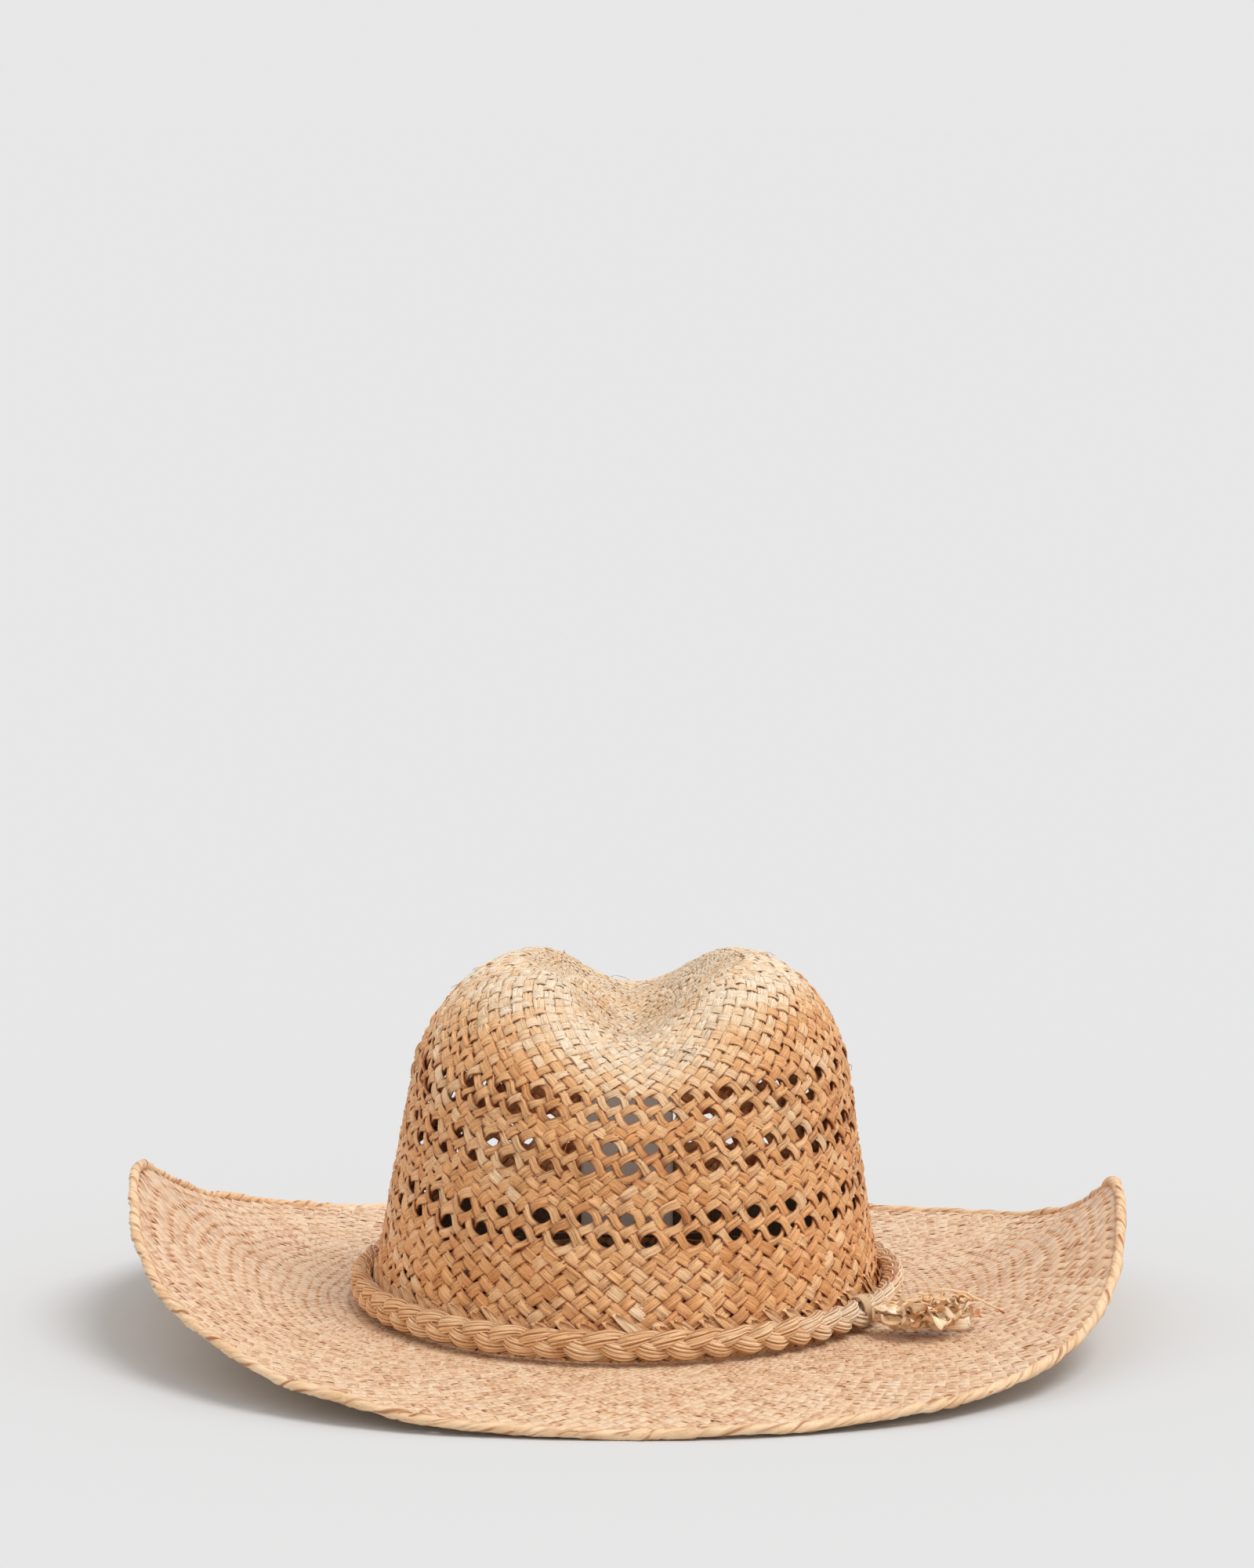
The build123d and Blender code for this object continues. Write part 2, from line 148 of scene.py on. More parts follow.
def brim_top(x, y):
    """Height of the brim's top surface."""
    angle = np.arctan2(y, x)
    foot = outline_radius(angle, FOOT, 2)
    edge = outline_radius(angle, EDGE, EDGE_SQUARENESS)
    part = np.maximum(0, (np.hypot(x, y) - foot) / (edge - foot))
    sideways = np.abs(np.cos(angle))
    broad = BROAD_SHARE - BROAD_SHARE_DIFFERENCE * np.cos(angle)
    curl_share = broad * sideways ** BROAD_EXPONENT + (1 - broad) * sideways ** TIGHT_EXPONENT
    rise = SIDE_RISE - SIDE_RISE_DIFFERENCE * np.cos(angle)
    up = rise * curl_share * part ** SIDE_CURL
    down = END_DROP * (1 - curl_share) * part ** END_CURL
    cornerwise = np.maximum(0, -np.cos(angle)) * np.maximum(0, -np.sin(angle)) * 2
    return FOOT_Z + up - down + CORNER_LIFT * (cornerwise * part) ** 2


def ridge_height(angle):
    end = CROWN_HEIGHT_END + CROWN_END_DIFFERENCE * np.sin(angle)
    return end + (CROWN_HEIGHT_SIDE - end) * (1 - np.abs(np.sin(angle)) ** (2 * RIDGE_SHARPNESS))


def crown_place(angle, part, inset):
    """A point of the crown; part runs 0 to 1 up the wall, to 2 round the shoulder, to 3 in the crease."""
    ridge = ridge_height(angle)
    wall_height = np.minimum(part, 1) * (ridge - SHOULDER_HEIGHT)
    turn = np.clip(part - 1, 0, 1) * np.pi / 2
    height = wall_height + SHOULDER_HEIGHT * np.sin(turn)
    share = 1 - WALL_TAPER * height - SHOULDER_INSET * (1 - np.cos(turn))
    left = 1 - np.clip(part - 2, 0, 1)
    height = np.where(part > 2, CREASE_BOTTOM + (ridge - CREASE_BOTTOM) * left ** 2 * (3 - 2 * left), height)
    share = share * left
    lower = inset * smooth(part, 0.6, 2.0)
    half = FOOT - inset
    lean = CROWN_LEAN * (height / 100) ** 2
    return np.stack([half[0] * share * np.cos(angle) + lean, half[1] * share * np.sin(angle),
                     FOOT_Z + height - lower], -1)


class Surface:
    """A surface as a table over (turn, row): turn goes once round, row counts the weave's crossings."""

    def __init__(self, points, first_row, row_step):
        self.points = points
        self.first_row = first_row
        self.row_step = row_step
        wrapped = np.concatenate([points[-1:], points, points[:1]])
        self.by_turn = (wrapped[2:] - wrapped[:-2]) * (len(points) / (4 * np.pi))
        self.by_row = np.gradient(points, axis=1) / row_step
        self.normals = unit(np.cross(self.by_turn, self.by_row))

    def sample(self, table, turn, row):
        columns, rows = table.shape[:2]
        u = (turn / (2 * np.pi)) % 1 * columns
        v = np.clip((row - self.first_row) / self.row_step, 0, rows - 1.001)
        i, j = np.floor(u).astype(int), np.floor(v).astype(int)
        fu, fv = (u - i)[..., None], (v - j)[..., None]
        i, i2 = i % columns, (i + 1) % columns
        low = table[i, j] * (1 - fu) + table[i2, j] * fu
        high = table[i, j + 1] * (1 - fu) + table[i2, j + 1] * fu
        return low * (1 - fv) + high * fv

    def point(self, turn, row):
        return self.sample(self.points, turn, row)

    def normal(self, turn, row):
        return unit(self.sample(self.normals, turn, row))

    def scales(self, turn, row):
        """Millimetres per radian of turn and per row."""
        return (np.linalg.norm(self.sample(self.by_turn, turn, row), axis=-1),
                np.linalg.norm(self.sample(self.by_row, turn, row), axis=-1))


def crown_surface():
    """The crown with its rows: level near the foot, one row along the ridge, finer in the crease."""
    columns = 512
    angles, length = even_angles(columns, FOOT)
    spacing = np.pi / CROWN_STRIPS
    mean_radius = length / (2 * np.pi)
    parts = np.concatenate([np.linspace(-0.08, 2, 420), np.linspace(2, 2.985, 360)[1:]])
    grid = crown_place(angles[:, None], parts[None, :], CROWN_INSET)
    steps = np.linalg.norm(np.diff(grid, axis=1), axis=-1)
    share = np.hypot(grid[..., 0] / FOOT[0], grid[..., 1] / FOOT[1])
    rate = 1 / (CROWN_SLOPE * spacing * mean_radius * (share[:, 1:] + share[:, :-1]) / 2)
    rows = np.concatenate([np.zeros((columns, 1)), np.cumsum(steps * rate, axis=1)], axis=1)
    foot = np.array([np.interp(0, parts, r) for r in rows])[:, None]
    rows = rows - foot
    at_ridge = np.array([np.interp(2, parts, r) for r in rows])[:, None]
    beyond = np.maximum(0, (rows - LEVEL_ROWS) / (at_ridge - LEVEL_ROWS))
    rows = rows + (RIDGE_ROW - at_ridge) * beyond ** 2
    left = np.maximum(3 - parts, 1e-3)
    growth = (FIRST_THINNING_ROW - RIDGE_ROW) / math.log(1 / FIRST_THINNING_SHARE)
    crease = RIDGE_ROW + growth * np.log(1 / left)
    second_share = FIRST_THINNING_SHARE * math.exp(-2 * (SECOND_THINNING_ROW - FIRST_THINNING_ROW) / growth)
    thinned = FIRST_THINNING_ROW + growth / 2 * np.log(FIRST_THINNING_SHARE / left)
    crease = np.where(left < FIRST_THINNING_SHARE, thinned, crease)
    twice = SECOND_THINNING_ROW + growth / 4 * np.log(second_share / left)
    crease = np.where(left < second_share, twice, crease)
    third_share = second_share * math.exp(-4 * (THIRD_THINNING_ROW - SECOND_THINNING_ROW) / growth)
    thrice = THIRD_THINNING_ROW + growth / 8 * np.log(third_share / left)
    crease = np.where(left < third_share, thrice, crease)
    rows = np.where(parts[None, :] > 2, crease[None, :], rows)
    row_step = 0.25
    wanted = np.arange(-1, LAST_ROW + 1, row_step)
    table = np.empty((columns, len(wanted), 3))
    for i in range(columns):
        table[i] = crown_place(angles[i], np.interp(wanted, rows[i], parts), CROWN_INSET)
    return Surface(table, -1, row_step)


def crown_turn(row):
    """How far round a strip has gone at a row, in units of the strips' half spacing."""
    first = np.clip(row, None, FIRST_THINNING_ROW)
    second = np.clip(row - FIRST_THINNING_ROW, 0, SECOND_THINNING_ROW - FIRST_THINNING_ROW)
    third = np.clip(row - SECOND_THINNING_ROW, 0, THIRD_THINNING_ROW - SECOND_THINNING_ROW)
    fourth = np.maximum(0, row - THIRD_THINNING_ROW)
    return first + 2 * second + 4 * third + 8 * fourth


def brim_surface():
    """The brim with its rows, which grow in step with the spacing of the strips; also the last row."""
    columns = 720
    inner = FOOT - 2.6
    outer = EDGE - 0.6
    angles, _ = even_angles(columns, (inner + outer) / 2)
    growth = BRIM_STRIPS / np.pi
    middle_in, middle_out = inner.mean(), outer.mean()
    last = growth * math.log(middle_out / middle_in)
    row_step = 0.25
    wanted = np.arange(0, last, row_step)
    part = (middle_in * np.exp(wanted / growth) - middle_in) / (middle_out - middle_in)
    low = outline_radius(angles, inner, 2)[:, None]
    high = outline_radius(angles, outer, EDGE_SQUARENESS)[:, None]
    radius = low + (high - low) * part[None, :]
    x, y = radius * np.cos(angles)[:, None], radius * np.sin(angles)[:, None]
    table = np.stack([x, y, brim_top(x, y) - BRIM_INSET], -1)
    return Surface(table, 0, row_step), wanted[-1]


# --- Meshes ---
def lofted(name, rings, along, material, body, across=None, marks=None, closed=False):
    """One object of many tubes: rings is (tube, station, point round the tube, xyz), in mm."""
    tubes, stations, count = rings.shape[:3]
    spans = stations if closed else stations - 1
    tube = np.arange(tubes)[:, None, None]
    station = np.arange(spans)[None, :, None]
    point = np.arange(count)[None, None, :]

    def index(s, p):
        return (tube * stations + s % stations) * count + p % count

    corners = ((0, 0), (0, 1), (1, 1), (1, 0))
    quads = np.stack([index(station + s, point + p) for s, p in corners], -1).reshape(-1, 4)
    first = rings[0]
    centre = first.mean((0, 1))
    a, b, c = (first[(i + s) % stations, (k + p) % count] - centre
               for s, p in corners[:3] for i, k in [np.ogrid[0:spans, 0:count]])
    if (a * np.cross(b, c)).sum() < 0:
        quads = quads[:, ::-1]
        corners = corners[::-1]
        flipped = True
    else:
        flipped = False
    sizes = [np.full(len(quads), 4)]
    loops = [quads.ravel()]
    if not closed:
        ends = (index(0, point) + 0 * station[:, :1]).reshape(tubes, count)
        tips = (index(stations - 1, point)).reshape(tubes, count)
        caps = np.concatenate([ends if flipped else ends[:, ::-1], tips[:, ::-1] if flipped else tips])
        sizes.append(np.full(len(caps), count))
        loops.append(caps.ravel())
    sizes, loops = np.concatenate(sizes), np.concatenate(loops)
    mesh = bpy.data.meshes.new(name)
    mesh.vertices.add(tubes * stations * count)
    mesh.vertices.foreach_set("co", (rings * MM).astype(np.float32).ravel())
    mesh.loops.add(len(loops))
    mesh.loops.foreach_set("vertex_index", loops.astype(np.int32))
    mesh.polygons.add(len(sizes))
    mesh.polygons.foreach_set("loop_start", np.concatenate([[0], np.cumsum(sizes)[:-1]]).astype(np.int32))
    mesh.polygons.foreach_set("use_smooth", np.ones(len(sizes), bool))
    u = np.linspace(0, 1, count + 1) if across is None else np.append(across, across[0])
    v = np.broadcast_to(np.asarray(along, float), (tubes, stations))
    v = np.concatenate([v, v[:, -1:] + (v[:, -1:] - v[:, -2:-1])], 1)
    uv = np.stack([np.stack(np.broadcast_arrays(u[point + p], v[tube, station + s]), -1)
                   for s, p in corners], -2).reshape(-1, 2)
    layer = mesh.uv_layers.new(name="UVMap")
    full = np.zeros((len(loops), 2), np.float32)
    full[:len(uv)] = uv
    layer.data.foreach_set("uv", full.ravel())
    for mark, values in (marks or {}).items():
        attribute = mesh.attributes.new(mark, "FLOAT", "POINT")
        values = values if np.ndim(values) == 3 else np.asarray(values)[..., None]
        spread = np.broadcast_to(values, (tubes, stations, count))
        attribute.data.foreach_set("value", spread.astype(np.float32).ravel())
    mesh.update(calc_edges=True)
    mesh.validate()
    piece = bpy.data.objects.new(name, mesh)
    bpy.context.scene.collection.objects.link(piece)
    mesh.materials.append(material)
    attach(piece, body)
    return piece


def slow_noise(shape, knots, stations, closed=False):
    """Smooth random curves, one per leading index, with about `knots` turns along the last axis."""
    values = rng.standard_normal((*shape, knots + 3))
    if closed:
        values[..., knots:] = values[..., :3]
    at = np.linspace(0, knots, stations, endpoint=not closed)
    i = np.floor(at).astype(int)
    f = at - i
    f = f * f * (3 - 2 * f)
    return values[..., i] * (1 - f) + values[..., i + 1] * f


def ribbon_rings(centre, normal, width, thickness, bulge, crease, tops, roll=0.0):
    """Rings of flat creased ribbons: tops points on the upper face and three on the lower one."""
    tangent = unit(np.gradient(centre, axis=1))
    side = unit(np.cross(tangent, normal))
    normal = np.cross(side, tangent)
    if np.ndim(roll):
        cosine, sine = np.cos(roll)[..., None], np.sin(roll)[..., None]
        side, normal = side * cosine + normal * sine, normal * cosine - side * sine
    strips, stations = centre.shape[:2]
    a_top = np.linspace(-1, 1, tops)
    folds = np.stack([slow_noise((strips,), max(2, stations // 9), stations) for _ in a_top], -1)
    folds[..., 0] = folds[..., -1] = 0
    up = (thickness[..., None] / 2 + bulge[..., None] * (1 - a_top ** 2)
          + crease[..., None] * folds * (1 - a_top ** 8))
    a_low = np.array([0.9, 0.0, -0.9])
    down = -thickness[..., None] / 2 + bulge[..., None] * (1 - a_low ** 2) * 0.8
    a = np.concatenate([a_top, a_low])
    b = np.concatenate([up, np.broadcast_to(down, (*up.shape[:2], 3))], -1)
    ring = (centre[..., None, :] + side[..., None, :] * (a * width[..., None] / 2)[..., None]
            + normal[..., None, :] * b[..., None])
    return ring, (a + 1) / 2


# --- Materials ---
class Nodes:
    """A small helper for node materials."""

    def __init__(self, name):
        self.material = bpy.data.materials.new(name)
        self.material.use_nodes = True
        self.tree = self.material.node_tree
        self.shader = self.tree.nodes["Principled BSDF"]

    def add(self, kind, inputs=None, **settings):
        node = self.tree.nodes.new(kind)
        for key, value in settings.items():
            setattr(node, key, value)
        for key, value in (inputs or {}).items():
            self.put(node.inputs[key], value)
        return node

    def put(self, socket, value):
        if isinstance(value, bpy.types.NodeSocket):
            self.tree.links.new(value, socket)
        else:
            socket.default_value = value

    def mark(self, name):
        return self.add("ShaderNodeAttribute", attribute_name=name).outputs["Fac"]

    def noise(self, vector, scale, detail=2.0, roughness=0.5):
        inputs = {"Vector": vector, "Scale": scale, "Detail": detail, "Roughness": roughness}
        return self.add("ShaderNodeTexNoise", inputs).outputs["Fac"]

    def ramp(self, value, stops):
        node = self.add("ShaderNodeValToRGB", {"Fac": value})
        elements = node.color_ramp.elements
        while len(elements) < len(stops):
            elements.new(0.5)
        for element, (place, colour) in zip(elements, stops):
            element.position = place
            element.color = (*colour, 1)
        return node.outputs["Color"]

    def mix(self, kind, factor, a, b):
        node = self.add("ShaderNodeMix", data_type="RGBA", blend_type=kind)
        self.put(node.inputs["Factor"], factor)
        self.put(node.inputs["A"], a)
        self.put(node.inputs["B"], b)
        return node.outputs["Result"]

    def calc(self, operation, a, b=0.0):
        node = self.add("ShaderNodeMath", operation=operation)
        self.put(node.inputs[0], a)
        self.put(node.inputs[1], b)
        return node.outputs[0]

    def stretched_uv(self, across, along):
        uv = self.add("ShaderNodeTexCoord").outputs["UV"]
        return self.add("ShaderNodeMapping", {"Vector": uv, "Scale": (across, along, 1)}).outputs["Vector"]

    def bump(self, height, distance, strength=1.0):
        node = self.add("ShaderNodeBump", {"Height": height, "Distance": distance, "Strength": strength})
        self.put(self.shader.inputs["Normal"], node.outputs["Normal"])


def straw(name, shades, painted_shade_and_scorch_colour, fibre=12.0, contrast=1.0):
    """Split straw: a tone per strip, fibre streaks, painted shade along the folds, and a dark colour mixed in
    by the depth mark, which is mostly painted shade (under crossings, along strip edges, in hollows) and also
    scorched tips.
    """
    n = Nodes(name)
    blotch = n.noise(n.add("ShaderNodeTexCoord").outputs["Object"], 60, 3)
    tint = n.calc("ADD", n.mark("tint"), n.calc("MULTIPLY", n.calc("SUBTRACT", blotch, 0.5), 0.6))
    colour = n.ramp(tint, [(i / (len(shades) - 1), s) for i, s in enumerate(shades)])
    streak = n.noise(n.stretched_uv(fibre, 0.09), 1.0, 4, 0.65)
    light = n.ramp(streak, [(0.28, (0.74, 0.58, 0.43)), (0.50, (1, 1, 1)), (0.75, (1.10, 1.09, 1.06))])
    colour = n.mix("MULTIPLY", min(1.0, contrast), colour, light)
    wavy = n.noise(n.stretched_uv(fibre * 0.42, 0.12), 1.0, 2, 0.5)
    fold = n.calc("ABSOLUTE", n.calc("SUBTRACT", wavy, 0.5))
    # painted shade: a thin dark line along each fold of the straw
    line = n.ramp(fold, [(0.0, (0.52, 0.34, 0.20)), (0.020, (1, 1, 1))])
    colour = n.mix("MULTIPLY", 0.6 * contrast, colour, line)
    # mostly painted shade: the depth mark mixes in the dark colour where strips go under one another, along
    # their edges and in hollows; it also darkens scorched tassel tips and some loose fibres at random
    colour = n.mix("MULTIPLY", n.mark("depth"), colour, (*painted_shade_and_scorch_colour, 1))
    n.put(n.shader.inputs["Base Color"], colour)
    n.shader.inputs["Roughness"].default_value = 0.48
    n.shader.inputs["Specular IOR Level"].default_value = 0.40
    groove = n.calc("MULTIPLY", n.calc("MINIMUM", fold, 0.08), 6.0)
    n.bump(n.calc("ADD", streak, groove), 0.0005, 0.7 * contrast)
    return n.material


def woven_ribbon(name):
    """Dark ribbed ribbon of the sweatband."""
    n = Nodes(name)
    coordinates = n.add("ShaderNodeTexCoord").outputs["Object"]
    fuzz = n.noise(coordinates, 900, 2)
    colour = n.ramp(fuzz, [(0.3, (0.050, 0.028, 0.013)), (0.7, (0.130, 0.080, 0.040))])
    n.put(n.shader.inputs["Base Color"], colour)
    n.shader.inputs["Roughness"].default_value = 0.75
    n.shader.inputs["Sheen Weight"].default_value = 0.25
    n.bump(fuzz, 0.0002)
    return n.material


def plain_cloth(name, dark, pale, size, roughness=0.8):
    """Fine plain-woven cloth, for the blank label and the threads."""
    n = Nodes(name)
    coordinates = n.add("ShaderNodeTexCoord").outputs["Object"]
    threads = n.add("ShaderNodeTexWave", {"Vector": coordinates, "Scale": size, "Distortion": 1.5,
                                         "Detail": 2.0}, bands_direction="Z").outputs["Fac"]
    n.put(n.shader.inputs["Base Color"], n.ramp(threads, [(0.2, dark), (0.8, pale)]))
    n.shader.inputs["Roughness"].default_value = roughness
    n.bump(threads, 0.0001)
    return n.material


def steel(name):
    """Drawn steel of the wire in the brim's edge."""
    n = Nodes(name)
    scratches = n.noise(n.add("ShaderNodeTexCoord").outputs["Object"], 400, 3)
    n.put(n.shader.inputs["Roughness"], n.calc("ADD", n.calc("MULTIPLY", scratches, 0.25), 0.25))
    colour = n.ramp(scratches, [(0.2, (0.35, 0.34, 0.33)), (0.8, (0.6, 0.6, 0.6))])
    n.put(n.shader.inputs["Base Color"], colour)
    n.shader.inputs["Metallic"].default_value = 1.0
    return n.material


# Each material's last colour is the dark colour of its painted shade, mixed in by the depth mark.
CROWN_STRAW = straw("crown_straw", [(0.76, 0.34, 0.12), (0.91, 0.50, 0.22), (0.97, 0.66, 0.38),
                                    (1.00, 0.83, 0.62)], (0.36, 0.14, 0.045))
BRIM_STRAW = straw("brim_straw", [(0.82, 0.53, 0.31), (0.90, 0.64, 0.41), (0.94, 0.71, 0.49),
                                  (0.97, 0.80, 0.61)], (0.52, 0.27, 0.12), contrast=0.6)
EDGE_STRAW = straw("edge_straw", [(0.80, 0.51, 0.28), (0.88, 0.61, 0.37), (0.92, 0.68, 0.45),
                                  (0.95, 0.76, 0.55)], (0.46, 0.24, 0.11), 7, 0.5)
PLAIT_STRAW = straw("plait_straw", [(0.72, 0.38, 0.15), (0.86, 0.52, 0.26), (0.94, 0.66, 0.39),
                                    (1.00, 0.85, 0.64)], (0.40, 0.17, 0.06), 34, 0.9)
TASSEL_STRAW = straw("tassel_straw", [(0.80, 0.44, 0.19), (0.93, 0.60, 0.31), (0.98, 0.73, 0.45),
                                      (1.00, 0.86, 0.64)], (0.60, 0.28, 0.11), 8, 0.6)
RIBBON = woven_ribbon("grosgrain")
LABEL_CLOTH = plain_cloth("label_cloth", (0.78, 0.75, 0.76), (0.84, 0.81, 0.81), 1200)
THREAD = plain_cloth("thread", (0.30, 0.20, 0.11), (0.55, 0.40, 0.24), 2500)
WIRE_STEEL = steel("wire_steel")


# --- Crown ---
def vent_push(surface, turn, row):
    """Moves strips away from the ventilation holes; also says how near the nearest hole is.

    Distance is measured square to the two families of strips, so that the strips stay nearly
    straight and leave six-sided holes.
    """
    spacing = np.pi / CROWN_STRIPS
    rise = math.sin(math.atan(CROWN_SLOPE))
    run = math.cos(math.atan(CROWN_SLOPE))
    per_turn, per_row = surface.scales(turn, row)
    push_turn, push_row = np.zeros_like(turn), np.zeros_like(turn)
    nearest = np.full_like(turn, 1e3)
    for k, vent_row in enumerate(VENT_ROWS):
        phase = spacing * (vent_row + 1 + 2 * (k // 2))
        pitch = 4 * spacing
        home = np.round((turn - phase) / pitch)
        for offset in (-1, 0, 1):
            x = (turn - phase - (home + offset) * pitch) * per_turn
            y = (row - vent_row) * per_row
            a, b = x * rise - y * run, x * rise + y * run
            distance = np.maximum((np.abs(a) ** 3 + np.abs(b) ** 3) ** (1 / 3), 0.3)
            hole = (home + offset) % (CROWN_STRIPS // 2)
            variation = 1 + VENT_VARIATION * np.sin(2.4 * hole + 1.7 * k)
            radius = VENT_RADIUS * (1 - VENT_SHRINK * (k // 2)) * variation
            moved = (distance ** VENT_FALLOFF + radius ** VENT_FALLOFF) ** (1 / VENT_FALLOFF) - distance
            pull_a, pull_b = a * np.abs(a) / distance ** 2, b * np.abs(b) / distance ** 2
            push_turn += VENT_PUSH_ROUND * moved * (pull_a + pull_b) * rise / per_turn
            push_row += VENT_PUSH_UP * moved * (pull_b - pull_a) * run / per_row
            nearest = np.minimum(nearest, distance)
    return turn + push_turn, row + push_row, nearest


def under_crossing_shade(row, wave, strips, often, faint):
    """Painted shade where a strip goes under the strip it crosses: full at some crossings and faint at the
    others.
    """
    crossings = rng.random((strips, int(row.max()) + 3))
    deep = np.where(crossings < often, 1.0, faint)
    at = np.clip(np.round(row).astype(int), 0, None)
    return smooth(-wave, -0.1, 1.0) * np.take_along_axis(deep, at, 1)


def crown_family(surface, way, name):
    """One diagonal family of the crown's strips; way is +1 or -1, the direction that they turn."""
    spacing = np.pi / CROWN_STRIPS
    per_row = 4
    made = []
    sorts = ((0, 8, LAST_ROW), (4, 8, THIRD_THINNING_ROW + 0.5), (2, 4, SECOND_THINNING_ROW + 0.5),
             (1, 2, FIRST_THINNING_ROW + 0.5))
    for first, step, last in sorts:
        numbers = np.arange(first, CROWN_STRIPS, step)
        strips = len(numbers)
        stations = int((last + 0.8) * per_row)
        row = np.broadcast_to(np.linspace(-0.8, last, stations), (strips, stations)).copy()
        wander = 0.12 * slow_noise((strips,), int(last / 4), stations)
        turn = 2 * spacing * numbers[:, None] + way * spacing * crown_turn(row) + spacing * wander
        turn, row_at, hole = vent_push(surface, turn, row)
        per_turn, per_row_mm = surface.scales(turn, row_at)
        thinning = np.select([row > THIRD_THINNING_ROW, row > SECOND_THINNING_ROW, row > FIRST_THINNING_ROW],
                             [8, 4, 2], 1)
        half_across = spacing * thinning * per_turn
        pitch = 2 * half_across * per_row_mm / np.hypot(half_across, per_row_mm)
        size = np.minimum(pitch, 5.2)
        squeeze = 0.72 + 0.28 * smooth(hole, 2.4, 6.0)
        own = 1 + 0.09 * rng.standard_normal((strips, 1))
        width = pitch * 0.95 * squeeze * own * (1 + 0.08 * slow_noise((strips,), int(last / 3), stations))
        wave = way * np.cos(np.pi * row)
        normal = surface.normal(turn, row_at)
        lift = WAVE * size * wave * (1 - 0.1 * squeeze)
        centre = surface.point(turn, row_at) + normal * lift[..., None]
        roll = (0.12 + 0.45 * (1 - squeeze)) * slow_noise((strips,), int(last / 2.5), stations)
        thickness = 0.09 * size * (1.6 - 0.6 * squeeze)
        bulge = 0.060 * width * (2.2 - 1.2 * squeeze)
        crease = 0.062 * size
        rings, across = ribbon_rings(centre, normal, width, thickness, bulge, crease, 9, roll)
        along = np.cumsum(np.linalg.norm(np.gradient(centre, axis=1), axis=-1), 1)
        along = along + 100 * rng.random((strips, 1))
        # painted light: parts that face up, and the rows near the ridge and in the crease, get the pale end
        # of the palette and less painted shade, while the walls keep the darker, more orange end, as light
        # from above would show them
        painted_top_light = np.maximum(smooth(normal[..., 2], 0.50, 0.92), smooth(row, 44, 54))
        tint = 0.33 + 0.60 * painted_top_light + 0.11 * rng.standard_normal((strips, 1))
        tint = tint + 0.09 * slow_noise((strips,), int(last / 3), stations)
        # painted shade along each strip's edges, where it meets its neighbours, and where it goes under a
        # crossing strip
        painted_edge_shade = 0.95 * smooth(np.abs(2 * across - 1), 0.72, 1.0)
        depth = np.maximum(under_crossing_shade(row, wave, strips, 0.50, 0.50)[..., None], painted_edge_shade)
        depth = depth * (1 - 0.55 * painted_top_light)[..., None]
        marks = {"tint": np.clip(tint, 0, 1), "depth": depth}
        piece_name = f"{name}_{len(made) + 1}"
        made.append(lofted(piece_name, rings, along, CROWN_STRAW, "hat", across, marks))
    return made


def make_foot_ends(surface):
    """The strips' lower ends, each folded over on itself just above the hat band."""
    stations = 25
    spacing = np.pi / CROWN_STRIPS
    numbers = np.arange(CROWN_STRIPS)[:, None]
    t = np.linspace(0, 1, stations)[None, :]
    tip_row = 3.9 + 0.30 * rng.standard_normal((CROWN_STRIPS, 1))
    base_row = 1.6
    shift = 0.25 * rng.standard_normal((CROWN_STRIPS, 1))
    rise = np.sin(np.pi * t) ** 0.7
    row = base_row + (tip_row - base_row) * rise
    turn = spacing * (2 * numbers + shift - 0.9 * (row - base_row) + 0.5 * (t - 0.5))
    out = 0.80 + 0.32 * np.cos(np.pi * t)
    normal = surface.normal(turn, row)
    centre = surface.point(turn, row) + normal * out[..., None]
    width = (3.1 + 0.4 * rng.standard_normal((CROWN_STRIPS, 1))) * np.ones_like(row)
    thickness = np.full_like(row, 0.3)
    facing = np.cos(np.pi * t)[..., None] * normal + np.sin(np.pi * t)[..., None] * np.array([0, 0, 1.0])
    crease = 0.14 * np.ones_like(row)
    rings, across = ribbon_rings(centre, unit(facing), width, thickness, 0.10 * width, crease, 9)
    along = 14 * t + 100 * rng.random((CROWN_STRIPS, 1))
    tint = np.clip(0.45 + 0.12 * rng.standard_normal((CROWN_STRIPS, 1)), 0, 1)
    # painted shade along the edges of each folded end
    painted_edge_shade = 0.3 * smooth(np.abs(2 * across - 1), 0.75, 1.0)
    marks = {"tint": tint, "depth": np.broadcast_to(painted_edge_shade, rings.shape[:3])}
    piece = lofted("crown_strip_ends", rings, along, CROWN_STRAW, "hat", across, marks)
    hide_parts("crown_foot_ends")


